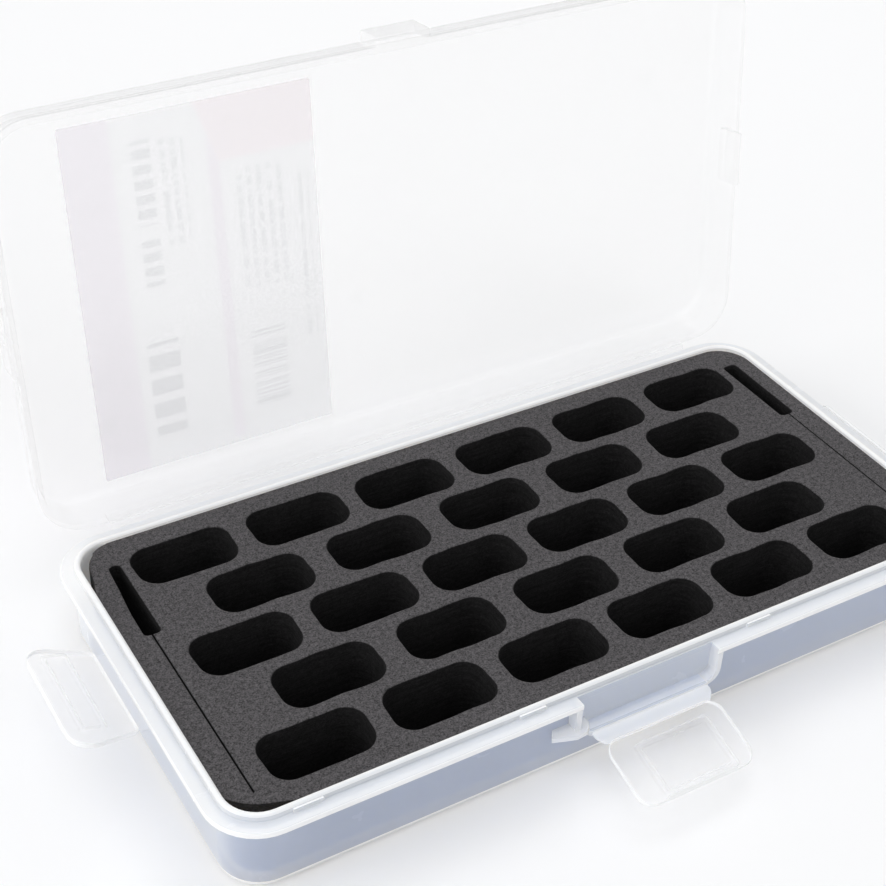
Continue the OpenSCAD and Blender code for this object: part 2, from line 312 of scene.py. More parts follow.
class Nodes:
    """Short calls for building a material's node tree."""

    def __init__(self, name):
        self.material = bpy.data.materials.new(name)
        self.material.use_nodes = True
        self.tree = self.material.node_tree
        self.tree.nodes.clear()
        self.output = self.tree.nodes.new("ShaderNodeOutputMaterial")

    def add(self, kind, **inputs):
        """A node with named inputs set to a value or linked to a socket."""
        node = self.tree.nodes.new(kind)
        for name, value in inputs.items():
            self.feed(node.inputs[name.replace("_", " ")], value)
        return node

    def feed(self, socket, value):
        """Links a socket to value if that is a socket too, and else sets it."""
        if isinstance(value, bpy.types.NodeSocket):
            self.tree.links.new(value, socket)
        else:
            socket.default_value = value

    def math(self, operation, *values):
        node = self.tree.nodes.new("ShaderNodeMath")
        node.operation = operation
        for socket, value in zip(node.inputs, values):
            self.feed(socket, value)
        return node.outputs[0]

    def product(self, *values):
        """The product of two or more numbers."""
        total = values[0]
        for value in values[1:]:
            total = self.math("MULTIPLY", total, value)
        return total

    def vector(self, operation, *values):
        node = self.tree.nodes.new("ShaderNodeVectorMath")
        node.operation = operation
        for socket, value in zip(node.inputs, values):
            self.feed(socket, value)
        return node.outputs["Value" if operation == "DOT_PRODUCT" else "Vector"]

    def scaled(self, place, factors):
        return self.vector("MULTIPLY", place, factors)

    def noise(self, place, scale, detail=2.0, roughness=0.5):
        node = self.add("ShaderNodeTexNoise", Vector=place, Scale=scale, Detail=detail,
                        Roughness=roughness)
        return node.outputs["Fac"]

    def ramp(self, value, low, high, to_low=0.0, to_high=1.0):
        """Maps low..high to to_low..to_high, and holds the ends beyond them."""
        node = self.tree.nodes.new("ShaderNodeMapRange")
        node.clamp = True
        for name, given in (("Value", value), ("From Min", low), ("From Max", high),
                            ("To Min", to_low), ("To Max", to_high)):
            self.feed(node.inputs[name], given)
        return node.outputs["Result"]

    def colour_mix(self, share, a, b):
        node = self.tree.nodes.new("ShaderNodeMix")
        node.data_type = "RGBA"
        self.feed(node.inputs[0], share)
        self.feed(node.inputs[6], a)
        self.feed(node.inputs[7], b)
        return node.outputs[2]

    def shader_mix(self, share, a, b):
        node = self.tree.nodes.new("ShaderNodeMixShader")
        self.feed(node.inputs[0], share)
        self.tree.links.new(a, node.inputs[1])
        self.tree.links.new(b, node.inputs[2])
        return node.outputs[0]

    def shader_sum(self, a, b):
        node = self.tree.nodes.new("ShaderNodeAddShader")
        self.tree.links.new(a, node.inputs[0])
        self.tree.links.new(b, node.inputs[1])
        return node.outputs[0]

    def bump(self, height, strength, distance):
        node = self.add("ShaderNodeBump", Height=height, Strength=strength, Distance=distance)
        return node.outputs["Normal"]

    def point(self, x, y=0.0):
        node = self.tree.nodes.new("ShaderNodeCombineXYZ")
        self.feed(node.inputs["X"], x)
        self.feed(node.inputs["Y"], y)
        return node.outputs["Vector"]

    def done(self, shader):
        """The finished material, with shader as its surface."""
        self.tree.links.new(shader, self.output.inputs["Surface"])
        return self.material


def plastic(name, cover, returned=0.62, least=0.2, panel=None):
    """Milky polypropylene. cover is the share of red, green and blue light that one surface
    scatters head on. The rest goes straight through, so over white the plastic nearly vanishes
    and over black it looks bluish. returned is the share of scattered light that comes back.
    least limits the effect of slant. Inside panel (half width, front, low) it is milkier.
    """
    n = Nodes(name)
    place = n.tree.nodes.new("ShaderNodeTexCoord").outputs["Object"]
    geometry = n.tree.nodes.new("ShaderNodeNewGeometry")
    facing = n.math("ABSOLUTE", n.vector("DOT_PRODUCT", geometry.outputs["Normal"],
                                         geometry.outputs["Incoming"]))
    thickness = n.ramp(n.noise(place, 50.0, 0.0), 0.0, 1.0, 0.96, 1.04)
    if panel:
        half_width, front, low = panel
        split = n.add("ShaderNodeSeparateXYZ", Vector=place)
        inside = n.product(n.math("LESS_THAN", n.math("ABSOLUTE", split.outputs["X"]), half_width),
                           n.math("LESS_THAN", split.outputs["Y"], front),
                           n.math("GREATER_THAN", split.outputs["Z"], low))
        thickness = n.product(thickness, n.math("ADD", 1.0, n.product(inside, 0.9)))
    # Light crosses more of the wall at a slant, so less of what is behind it shows.
    depth = n.math("DIVIDE", thickness, n.math("MAXIMUM", facing, least))
    clear = n.tree.nodes.new("ShaderNodeCombineXYZ")
    for channel, share in zip("XYZ", cover):
        n.feed(clear.inputs[channel], n.math("POWER", 1.0 - share, depth))
    scattered = n.vector("SUBTRACT", (1.0, 1.0, 1.0), clear.outputs[0])
    window = n.add("ShaderNodeBsdfTransparent", Color=clear.outputs[0])
    back = n.add("ShaderNodeBsdfDiffuse", Color=n.scaled(scattered, (returned,) * 3))
    ahead = n.add("ShaderNodeBsdfTranslucent", Color=n.scaled(scattered, (0.99 - returned,) * 3))
    body = n.shader_sum(window.outputs[0], n.shader_sum(back.outputs[0], ahead.outputs[0]))
    # A satin shine on the outside only, stronger at a slant and broken up by faint scuffs.
    scuff = n.noise(n.scaled(place, (1.0, 4.0, 1.0)), 90.0, 3.0, 0.6)
    roughness = n.ramp(scuff, 0.0, 1.0, 0.22, 0.3)
    gloss = n.add("ShaderNodeBsdfGlossy", Color=(1, 1, 1, 1), Roughness=roughness)
    slant = n.math("POWER", n.math("SUBTRACT", 1.0, facing), 5.0)
    mirror = n.math("ADD", 0.03, n.product(slant, 0.5))
    outside = n.math("SUBTRACT", 1.0, geometry.outputs["Backfacing"])
    return n.done(n.shader_mix(n.product(mirror, outside), body, gloss.outputs[0]))


def foam(name, shade):
    """Black closed-cell foam: a fine grain on its faces and knife streaks on its cut walls, which
    are also painted much darker than the top as painted shade.

    shade is the share of light that its top sends back.
    """
    n = Nodes(name)
    place = n.tree.nodes.new("ShaderNodeTexCoord").outputs["Object"]
    normal = n.tree.nodes.new("ShaderNodeNewGeometry").outputs["Normal"]
    up = n.math("ABSOLUTE", n.vector("DOT_PRODUCT", normal, (0, 0, 1)))
    wall = n.ramp(up, 0.3, 0.7, 1.0, 0.0)
    grain = n.noise(place, 2700.0, 3.0, 0.8)
    cells = n.noise(place, 1100.0, 2.0, 0.6)
    patches = n.noise(place, 45.0, 3.0, 0.5)
    streak = n.noise(n.scaled(place, (160.0, 160.0, 1500.0)), 1.0, 4.0, 0.7)
    speckle = n.math("ADD", n.product(grain, 0.7), n.product(cells, 0.3))
    on_top = n.product(n.ramp(speckle, 0.38, 0.62, 0.3, 1.7), n.ramp(patches, 0.2, 0.8, 0.95, 1.05))
    # Cut walls keep knife streaks and are painted 4 to 14 times darker than the top: partly the cut
    # foam's own tone, mostly painted shade that keeps the pocket walls near black.
    cut_streaks_and_shade = n.ramp(streak, 0.3, 0.75, 0.07, 0.25)
    base = n.vector("SCALE", (shade * 1.02, shade * 0.97, shade * 1.01))
    n.feed(base.node.inputs["Scale"], n.product(on_top, n.ramp(wall, 0.0, 1.0, 1.0, cut_streaks_and_shade)))
    height = n.math("ADD", speckle, n.product(streak, wall, 2.0))
    surface = n.add("ShaderNodeBsdfPrincipled", Base_Color=base, Roughness=0.88,
                    Normal=n.bump(height, 0.7, 0.0002))
    surface.inputs["Specular IOR Level"].default_value = 0.25
    return n.done(surface.outputs[0])


def label_paper(name, low, across, up):
    """A plain printed label: colour blocks, bars in place of words, no lettering.

    low is its corner by the hinge, and across and up are its two sides as vectors.
    """
    n = Nodes(name)
    coordinates = n.tree.nodes.new("ShaderNodeTexCoord")
    offset = n.vector("SUBTRACT", coordinates.outputs["Object"], tuple(low))
    u = n.vector("DOT_PRODUCT", offset, tuple(across / across.length_squared))
    v = n.vector("DOT_PRODUCT", offset, tuple(up / up.length_squared))

    def within(value, low_edge, high_edge):
        return n.product(n.math("GREATER_THAN", value, low_edge),
                         n.math("LESS_THAN", value, high_edge))

    def area(u0, u1, v0, v1):
        return n.product(within(u, u0, u1), within(v, v0, v1))

    def bars(along, count, fill):
        """Even bars along one side. count is how many there are, fill the share they take up."""
        return n.math("LESS_THAN", n.math("FRACT", n.product(along, count)), fill)

    def rows(columns, words):
        """Thin broken lines that stand for rows of words."""
        row = n.math("FLOOR", n.product(u, columns))
        gaps = n.noise(n.point(n.product(row, 7.3), n.product(v, words)), 1.0, 1.0)
        return n.product(bars(u, columns, 0.5), n.math("GREATER_THAN", gaps, 0.46))

    def print_on(colour, where, ink, share=1.0):
        return n.colour_mix(n.product(where, share), colour, ink)

    paper = (0.95, 0.95, 0.955, 1.0)
    lilac = (0.80, 0.66, 0.80, 1.0)
    rose = (0.92, 0.70, 0.76, 1.0)
    ink = (0.10, 0.10, 0.15, 1.0)
    # The coloured parts: a flecked strip at one side, a thin stripe and a block whose inner
    # corner is cut off at a slant.
    flecks = n.add("ShaderNodeTexVoronoi", Scale=1.0,
                   Vector=n.scaled(n.point(u, v), (9.0, 14.0, 1.0)))
    bloom = n.product(n.ramp(flecks.outputs["Distance"], 0.15, 0.6, 0.3, 0.0),
                      n.ramp(v, 0.15, 0.45, 1.0, 0.1))
    colour = print_on(paper, area(0.0, 0.19, 0.0, 1.0), n.colour_mix(bloom, lilac, ink))
    colour = print_on(colour, area(0.56, 0.605, 0.02, 0.9), lilac)
    uncut = n.math("GREATER_THAN", n.math("ADD", v, n.product(u, 2.0)), 2.04)
    colour = print_on(colour, n.product(area(0.5, 1.0, 0.83, 1.0), uncut), rose)
    # The grey parts: bars in place of a heading and a large word, rows of small words and stripes.
    heading = n.math("MAXIMUM", area(0.265, 0.34, 0.70, 0.93), area(0.265, 0.34, 0.53, 0.66))
    colour = print_on(colour, n.product(heading, bars(v, 25.0, 0.62)), ink, 0.65)
    large_word = n.product(area(0.235, 0.365, 0.09, 0.37), bars(v, 14.0, 0.66))
    colour = print_on(colour, large_word, ink, 0.7)
    words = n.math("MAXIMUM", area(0.36, 0.47, 0.62, 0.92), area(0.66, 0.87, 0.45, 0.8))
    words = n.math("MAXIMUM", words, area(0.92, 0.965, 0.27, 0.77))
    colour = print_on(colour, n.product(words, rows(24.0, 60.0)), ink, 0.5)
    stripes = n.math("LESS_THAN", n.noise(n.point(n.product(v, 150.0)), 1.0, 0.0), 0.5)
    colour = print_on(colour, n.product(stripes, area(0.67, 0.82, 0.09, 0.34)), ink, 0.65)
    fibres = n.noise(coordinates.outputs["Object"], 1500.0, 4.0, 0.7)
    colour = n.colour_mix(n.ramp(fibres, 0.3, 0.7, 0.0, 0.05), colour, (1, 1, 1, 1))
    relief = n.bump(fibres, 0.3, 0.00005)
    print_side = n.add("ShaderNodeBsdfDiffuse", Color=colour, Normal=relief)
    gloss = n.add("ShaderNodeBsdfGlossy", Color=(1, 1, 1, 1), Roughness=0.4, Normal=relief)
    print_side = n.shader_mix(0.04, print_side.outputs[0], gloss.outputs[0])
    # From inside the lid the same print is faint and lets light by, a little less low down.
    faint = n.colour_mix(0.80, colour, (0.99, 0.99, 0.995, 1.0))
    shade = n.ramp(v, 0.36, 0.46, 0.975, 1.0)
    window = n.add("ShaderNodeBsdfTransparent", Color=n.scaled(faint, (0.74, 0.74, 0.74)))
    back = n.add("ShaderNodeBsdfDiffuse", Color=n.scaled(faint, (0.16, 0.16, 0.16)))
    ahead = n.add("ShaderNodeBsdfTranslucent", Color=n.scaled(faint, (0.10, 0.10, 0.10)))
    back_side = n.shader_sum(window.outputs[0], n.shader_sum(back.outputs[0], ahead.outputs[0]))
    dark = n.add("ShaderNodeBsdfDiffuse", Color=(0.5, 0.5, 0.5, 1.0))
    back_side = n.shader_mix(shade, dark.outputs[0], back_side)
    # The sheet's hidden faces are clear, and its outer face is solid print seen from outside.
    geometry = n.tree.nodes.new("ShaderNodeNewGeometry")
    hidden = geometry.outputs["Backfacing"]
    clear = n.add("ShaderNodeBsdfTransparent", Color=(1, 1, 1, 1))
    back_side = n.shader_mix(hidden, back_side, clear.outputs[0])
    outward = tuple(up.cross(across).normalized())
    faces_out = n.vector("DOT_PRODUCT", coordinates.outputs["Normal"], outward)
    outer = n.product(n.math("SUBTRACT", 1.0, hidden), n.math("GREATER_THAN", faces_out, 0.5))
    return n.done(n.shader_mix(outer, back_side, print_side))


CLEAR_PLASTIC = plastic("milky_plastic", (0.265, 0.308, 0.44),
                        panel=(NOTCH_HALF, -WALL_Y + 0.5 * MM, LEDGE_TOP))
# Near white and nearly opaque: partly the plastic's milkiness along its long edges, partly a
# painted highlight where light comes out along the plastic.
EDGE_HIGHLIGHT_PLASTIC = plastic("milky_plastic_edge_and_painted_highlight", (0.91, 0.93, 0.96), returned=0.8)
SEAT_PLASTIC = plastic("milky_plastic_seat", (0.50, 0.53, 0.60))
FLANGE_PLASTIC = plastic("milky_plastic_flange", (0.62, 0.66, 0.72))
# Whiter and warm: partly the thick rounded corner, partly painted light for the warm glow of light
# coming through the tray's floor.
THICK_BASE_LIT_PLASTIC = plastic("milky_plastic_thick_base_painted_light", (0.85, 0.83, 0.80), returned=0.8)
NECK_PLASTIC = plastic("milky_plastic_neck", (0.42, 0.46, 0.54))
LID_PLASTIC = plastic("milky_plastic_lid", (0.042, 0.043, 0.045), least=0.4)
LATCH_PLASTIC = plastic("milky_plastic_latch", (0.07, 0.072, 0.077), least=0.4)
BLACK_FOAM = foam("black_foam", 0.072)
# The pad is the same foam painted darker than the insert: painted shade at the bottoms of the
# pockets.
SHADED_PAD_FOAM = foam("black_foam_pad_painted_shade", 0.03)


# ---------------------------------------------------------------- tray


def tray():
    """The tray's shell, the gap in its front flange, the latch seat and the snap beads."""
    bottom = arc((2.1 * MM, 2.0 * MM), 2.0 * MM, 270, 180)
    under = arc((-0.2 * MM, FLANGE_BOTTOM - 0.25 * MM), 0.25 * MM, 0, 90, 3)
    low_edge = arc((-2.2 * MM, FLANGE_BOTTOM + 0.3 * MM), 0.3 * MM, 270, 180, 3)
    top_edge = arc((-2.1 * MM, FLANGE_TOP - 0.4 * MM), 0.4 * MM, 180, 90, 4)
    # The lip steps in from the wall, so that the lid's skirt fits round it.
    lip_foot = arc((LIP_STEP - 0.22 * MM, FLANGE_TOP + 0.22 * MM), 0.22 * MM, 270, 360, 3)
    lip = arc((LIP_STEP + 0.66 * MM, LIP_PEAK - 0.66 * MM), 0.66 * MM, 180, 0, 10)
    inside = [(LIP_STEP + 1.32 * MM, FLANGE_TOP), (1.48 * MM, FLANGE_TOP - 0.7 * MM)]
    inside += arc((2.58 * MM, TRAY_FLOOR + 1.1 * MM), 1.1 * MM, 180, 270, 5)
    profile = [(8.0 * MM, 0.0), (4.0 * MM, 0.0)] + bottom + under + low_edge + top_edge
    profile += lip_foot + lip + inside + [(4.4 * MM, TRAY_FLOOR), (7.0 * MM, TRAY_FLOOR)]
    shell = lofted("tray", WALL_X, WALL_Y, WALL_CORNER, profile)
    gap = block("gap", (-NOTCH_HALF, -FLANGE_Y - 1 * MM, FLANGE_BOTTOM - 1 * MM),
                (NOTCH_HALF, -WALL_Y - 0.02 * MM, FLANGE_TOP + 0.12 * MM), 0.05 * MM)
    combine(shell, gap, "DIFFERENCE")
    combine(shell, latch_seat(), "UNION")
    combine(shell, ledge_foot(), "UNION")
    for x in BEAD_CENTRES:
        bead = block("bead", (x - BEAD_HALF, -WALL_Y - 0.05 * MM, FLANGE_TOP - 0.1 * MM),
                     (x + BEAD_HALF, -WALL_Y + 0.9 * MM, LIP_PEAK - 0.55 * MM), 0.12 * MM)
        combine(shell, bead, "UNION")
    return smooth(shell)


def latch_seat():
    """The drop plates at both ends of the gap and the sunk ledge between them, as one channel."""
    inner = NOTCH_HALF
    outer = NOTCH_HALF + DROP_PLATE
    outer_round, inner_round = 3.4 * MM, 2.2 * MM
    top = FLANGE_TOP - 0.15 * MM
    outline = [(-outer, top)]
    outline += arc((-outer + outer_round, LEDGE_BOTTOM + outer_round), outer_round, 180, 270)
    outline += arc((outer - outer_round, LEDGE_BOTTOM + outer_round), outer_round, 270, 360)
    outline += [(outer, top), (inner, top)]
    outline += arc((inner - inner_round, LEDGE_TOP + inner_round), inner_round, 360, 270)
    outline += arc((-inner + inner_round, LEDGE_TOP + inner_round), inner_round, 270, 180)
    outline += [(-inner, top)]
    seat = slab("seat", [outline], WALL_Y - 0.5 * MM, FLANGE_Y - 0.05 * MM, 0.25 * MM)
    turned(seat, UPRIGHT)
    ledge = slab("ledge", [rounded_outline(14.4 * MM, 2.0 * MM, 0.6 * MM,
                                           at=(0, LEDGE_FRONT + 1.9 * MM))],
                 LEDGE_BOTTOM + 0.1 * MM, LEDGE_TOP - 0.05 * MM, 0.3 * MM)
    return combine(seat, ledge, "UNION")


def ledge_foot():
    """The wedge that stands out left of the ledge."""
    corners = [(-21.0, -42.4), (-22.5, -44.7), (-20.3, -45.5), (-17.6, -46.4), (-15.6, -46.2),
               (-14.3, -45.3), (-13.6, -44.0), (-13.6, -42.4)]
    outline = [(x * MM, y * MM) for x, y in corners]
    return slab("foot", [outline], LEDGE_TOP + 0.05 * MM, LEDGE_TOP + 1.25 * MM, 0.25 * MM)


# ---------------------------------------------------------------- lid


def lid():
    """The lid's shell with its rim bead, hinge leaf, front tab and side catches."""
    top = arc((3.1 * MM, LID_TOP - 2.2 * MM), 2.2 * MM, 90, 180, 7)
    bead_top = [(0.5 * MM, LID_BOTTOM + 1.6 * MM), (0.15 * MM, LID_BOTTOM + 1.35 * MM),
                (0.0, LID_BOTTOM + 1.05 * MM)]
    bead_bottom = arc((0.3 * MM, LID_BOTTOM + 0.3 * MM), 0.3 * MM, 180, 270, 3)
    inner_edge = [(1.1 * MM, LID_BOTTOM), (1.25 * MM, LID_BOTTOM + 0.15 * MM)]
    inner_top = LID_TOP - LID_WALL
    inside = arc((3.3 * MM, inner_top - 1.3 * MM), 1.3 * MM, 180, 90, 6)
    profile = [(8.0 * MM, LID_TOP), (4.2 * MM, LID_TOP)] + top + bead_top + bead_bottom
    profile += inner_edge + inside + [(4.6 * MM, inner_top), (8.0 * MM, inner_top)]
    shell = lofted("lid", LID_X, LID_Y, LID_CORNER, profile)
    leaf = block("leaf", (-HINGE_HALF, LID_Y - 0.7 * MM, LID_BOTTOM + 0.02 * MM),
                 (HINGE_HALF, LID_Y + 0.5 * MM, LID_BOTTOM + 3.0 * MM), 0.2 * MM)
    combine(shell, leaf, "UNION")
    tab = block("tab", (-6.3 * MM, -LID_Y - 1.9 * MM, LID_BOTTOM + 0.02 * MM),
                (6.3 * MM, -LID_Y + 0.8 * MM, LID_BOTTOM + 7.35 * MM), 0.35 * MM)
    combine(shell, tab, "UNION")
    for side in (-1, 1):
        ends = sorted((side * (LID_X - 0.8 * MM), side * (LID_X + 0.9 * MM)))
        catch = block("catch", (ends[0], -6.5 * MM, LID_BOTTOM + 0.02 * MM),
                      (ends[1], 6.5 * MM, LID_BOTTOM + 6.15 * MM), 0.3 * MM)
        combine(shell, catch, "UNION")
    turned(shell, closed_to_rest("lid_hinge"))
    return smooth(shell)


def label():
    """The paper label on the lid's outer face, with the corners of its printed face."""
    low_x, high_x = LABEL_LOW.x, LABEL_HIGH.x
    low_y, high_y = -38.0 * MM, 41.2 * MM
    middle = ((low_x + high_x) / 2, (low_y + high_y) / 2)
    outline = rounded_outline((high_x - low_x) / 2, (high_y - low_y) / 2, 0.6 * MM, at=middle,
                              steps=4)
    sheet = slab("label_sheet", [outline], LID_TOP + 0.01 * MM, LID_TOP + 0.11 * MM, 0.02 * MM, 1)
    rest = closed_to_rest("lid_hinge")
    turned(sheet, rest)
    hinge_corner = rest @ Vector((low_x, high_y, LID_TOP))
    across = rest @ Vector((high_x, high_y, LID_TOP)) - hinge_corner
    up = rest @ Vector((low_x, low_y, LID_TOP)) - hinge_corner
    return sheet, hinge_corner, across, up


# ---------------------------------------------------------------- latches


def front_latch():
    """The front flap with the rib frame that hooks over the lid's tab."""
    low = JOINTS["front_latch_hinge"]["pos_m"][2] + FRONT_NECK
    face = LID_Y + FRONT_GAP
    outline = rounded_outline(FRONT_HALF_WIDTH, FRONT_HALF_HEIGHT, 3.3 * MM,
                              at=(0, low + FRONT_HALF_HEIGHT))
    plate = slab("front_flap", [outline], face, face + FLAP_THICK, FLAP_EDGE)
    hook = LID_BOTTOM + 7.5 * MM
    half_x, half_y = 7.5 * MM, 4.9 * MM
    centre = (0, hook - half_y)
    rib = 1.2 * MM
    rib_outlines = [rounded_outline(half_x + rib, half_y + rib, 0.9 * MM, at=centre, steps=4),
                    rounded_outline(half_x, half_y, 0.5 * MM, at=centre, steps=4)]
    ribs = slab("ribs", rib_outlines, face - 1.2 * MM, face + 0.4 * MM, 0.2 * MM)
    combine(plate, ribs, "UNION")
    turned(plate, UPRIGHT)
    turned(plate, closed_to_rest("front_latch_hinge"))
    return smooth(plate)


def side_latch(side):
    """The flap at one end, with the rib that closes over the lid's side catch."""
    joint = "right_latch_hinge" if side > 0 else "left_latch_hinge"
    low = JOINTS[joint]["pos_m"][2] + SIDE_NECK
    face = LID_X + SIDE_GAP
    root_round, tip_round = 1.2 * MM, 4.0 * MM
    root = (SIDE_ROOT_HALF - root_round, low + root_round)
    tip = (SIDE_TIP_HALF - tip_round, low + SIDE_HEIGHT - tip_round)
    # The flap's sides run straight from the root's arcs to the tip's, touching both.
    run, rise = tip[0] - root[0], tip[1] - root[1]
    touch = math.degrees(math.atan2(rise, run))
    touch -= math.degrees(math.acos((root_round - tip_round) / math.hypot(run, rise)))
    half = arc(root, root_round, -90, touch, 5) + arc(tip, tip_round, touch, 90, 9)
    outline = half + [(-x, y) for x, y in half[::-1]]
    plate = slab("side_flap", [outline], face, face + FLAP_THICK, FLAP_EDGE)
    hook = LID_BOTTOM + 6.25 * MM
    half_x, half_y = 11.1 * MM, 2.7 * MM
    centre = (0, hook + half_y)
    rib = 1.0 * MM
    rib_outlines = [rounded_outline(half_x, half_y, 0.8 * MM, at=centre, steps=4),
                    rounded_outline(half_x - rib, half_y - rib, 0.4 * MM, at=centre, steps=4)]
    ribs = slab("side_rib", rib_outlines, face - 0.85 * MM, face + 0.4 * MM, 0.18 * MM)
    combine(plate, ribs, "UNION")
    # The plate is drawn in X and Y with its thickness along Z: X turns to Y, Y to Z and Z to X.
    stand = Matrix(((0, 0, side, 0), (side, 0, 0, 0), (0, 1, 0, 0), (0, 0, 0, 1)))
    turned(plate, stand)
    turned(plate, closed_to_rest(joint))
    return smooth(plate)


# ---------------------------------------------------------------- living hinges


def film(name, path, half_widths, thickness):
    """A thin strip that follows a path of (run, height) points. Its width runs along X.

    half_widths is half its width at its start, at its middle and at its end.
    """
    bm = bmesh.new()
    columns = 30
    first, middle, last = half_widths
    rows = []
    count = len(path)
    for i, (run, height) in enumerate(path):
        before, after = Vector(path[max(i - 1, 0)]), Vector(path[min(i + 1, count - 1)])
        along = (after - before).normalized()
        across = Vector((-along.y, along.x)) * thickness / 2
        t = i / (count - 1)
        reach = first * (1 - t) * (1 - 2 * t) + middle * 4 * t * (1 - t) + last * t * (2 * t - 1)
        for sign in (1, -1):
            row = []
            for j in range(columns + 1):
                x = reach * (2 * j / columns - 1)
                row.append(bm.verts.new((x, run + sign * across.x, height + sign * across.y)))
            rows.append(row)
    tops, bottoms = rows[0::2], rows[1::2]
    for skin in (tops, bottoms):
        for a, b in zip(skin, skin[1:]):
            for j in range(columns):
                bm.faces.new((a[j], a[j + 1], b[j + 1], b[j]))
    rim_top = tops[0] + [row[-1] for row in tops[1:-1]] + tops[-1][::-1]
    rim_top += [row[0] for row in tops[-2:0:-1]]
    rim_bottom = bottoms[0] + [row[-1] for row in bottoms[1:-1]] + bottoms[-1][::-1]
    rim_bottom += [row[0] for row in bottoms[-2:0:-1]]
    for i in range(len(rim_top)):
        j = (i + 1) % len(rim_top)
        bm.faces.new((rim_top[i], rim_top[j], rim_bottom[j], rim_bottom[i]))
    strip = mesh_from(name, bm)
    strip.data.shade_smooth()
    strip.data.set_sharp_from_angle(angle=math.radians(50))
    return strip


def curve_between(start, start_way, end, end_way, steps=14):
    """A smooth path from start to end that leaves and arrives along the two ways."""
    start, end = Vector(start), Vector(end)
    reach = (end - start).length
    a = start + Vector(start_way).normalized() * reach / 3
    b = end - Vector(end_way).normalized() * reach / 3
    points = []
    for i in range(steps + 1):
        t = i / steps
        point = (start * (1 - t) ** 3 + a * 3 * t * (1 - t) ** 2
                 + b * 3 * t * t * (1 - t) + end * t ** 3)
        points.append((point.x, point.y))
    return points


def lid_film():
    """The lid's hinge: a strip from the flange's back edge up to the lid's leaf."""
    rest = closed_to_rest("lid_hinge")
    leaf = rest @ Vector((0, LID_Y + 0.25 * MM, LID_BOTTOM + 0.25 * MM))
    up = rest.to_3x3() @ Vector((0, 0, 1))
    start = (FLANGE_Y - 0.15 * MM, FLANGE_TOP - 0.35 * MM)
    path = curve_between(start, (1, 0), (leaf.y, leaf.z), (up.y, up.z))
    strip = film("lid_hinge_strip", path, (HINGE_HALF, HINGE_HALF, HINGE_HALF), 0.3 * MM)
    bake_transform(strip)
    return strip


def front_film():
    """The front latch's neck: a thin strip from the ledge to the flap, with rounded ends."""
    rest = closed_to_rest("front_latch_hinge")
    pivot = JOINTS["front_latch_hinge"]["pos_m"]
    edge = rest @ Vector((0, -LID_Y - 3.0 * MM, pivot[2] + FRONT_NECK + 0.3 * MM))
    out = rest.to_3x3() @ Vector((0, 0, 1))
    start = (LEDGE_FRONT + 0.2 * MM, LEDGE_TOP - 0.45 * MM)
    path = curve_between(start, (-1, 0), (edge.y, edge.z), (out.y, out.z))
    strip = film("front_latch_neck", path, (13.6 * MM, 13.7 * MM, 12.2 * MM), 0.5 * MM)
    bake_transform(strip)
    return strip


def side_film(side):
    """A side latch's hinge: a narrow strip from the flange's end edge to the flap."""
    joint = "right_latch_hinge" if side > 0 else "left_latch_hinge"
    body = joint.replace("_hinge", "")
    pivot = JOINTS[joint]["pos_m"]
    rest = closed_to_rest(joint)
    edge = rest @ Vector((side * (LID_X + 1.9 * MM), 0, pivot[2] + SIDE_NECK + 0.2 * MM))
    out = rest.to_3x3() @ Vector((0, 0, 1))
    start = (FLANGE_X - 0.2 * MM, pivot[2])
    path = curve_between(start, (1, 0), (abs(edge.x), edge.z), (abs(out.x), out.z), steps=10)
    strip = film(body + "_strip", path, (11.2 * MM, 11.0 * MM, 11.2 * MM), 0.4 * MM)
    # The strip is drawn with its width along X: it turns so that its width lies along Y.
    turned(strip, Matrix(((0, side, 0, 0), (side, 0, 0, 0), (0, 0, 1, 0), (0, 0, 0, 1))))
    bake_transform(strip)
    return strip


# ---------------------------------------------------------------- foam


def end_cut(side):
    """One end's slot with the knife slit that runs on from it, as one outline."""
    middle, half, round_off = 79.9 * MM, 1.8 * MM, 1.0 * MM
    low, high = 11.0 * MM, 33.6 * MM
    slit, slit_half, slit_end = 80.2 * MM, 0.12 * MM, -35.3 * MM
    loop = [(slit + slit_half, slit_end), (slit + slit_half, low)]
    loop += arc((middle + half - round_off, low + round_off), round_off, -60, 0, 3)
    loop += [(middle + half, low + (high - low) * i / 6) for i in range(2, 5)]
    loop += arc((middle + half - round_off, high - round_off), round_off, 0, 90, 4)
    loop += arc((middle - half + round_off, high - round_off), round_off, 90, 180, 4)
    loop += [(middle - half, low + (high - low) * i / 6) for i in range(4, 1, -1)]
    loop += arc((middle - half + round_off, low + round_off), round_off, 180, 270, 4)
    loop += [(slit - slit_half, low), (slit - slit_half, slit_end)]
    return [(side * x, y) for x, y in loop]


def hand_cut(loop, at, phase):
    """Makes a pocket's outline slightly uneven."""
    uneven = []
    for x, y in loop:
        turn = math.atan2(y - at[1], x - at[0])
        wave = 0.11 * math.sin(3 * turn + phase) + 0.08 * math.sin(5 * turn - 2.3 * phase)
        uneven.append((x + wave * MM * math.cos(turn), y + wave * MM * math.sin(turn)))
    return uneven


def pressed_back(point, centre):
    """Moves a point of the foam's outline in where its front left corner stands off the lip.

    centre is the middle of that corner's arc.
    """
    first_turn, whole_turn, most = 5, 120, 2.3 * MM
    off = Vector(point) - centre
    share = 0.0
    if off.x < 9 * MM and off.y < 1 * MM:
        turn = math.degrees(math.atan2(-off.y, -off.x))
        along = min(max((turn - first_turn) / whole_turn, 0.0), 1.0)
        share = max(math.sin(math.pi * along), 0.0) ** 0.7
    return tuple(Vector(point) - off.normalized() * most * share)


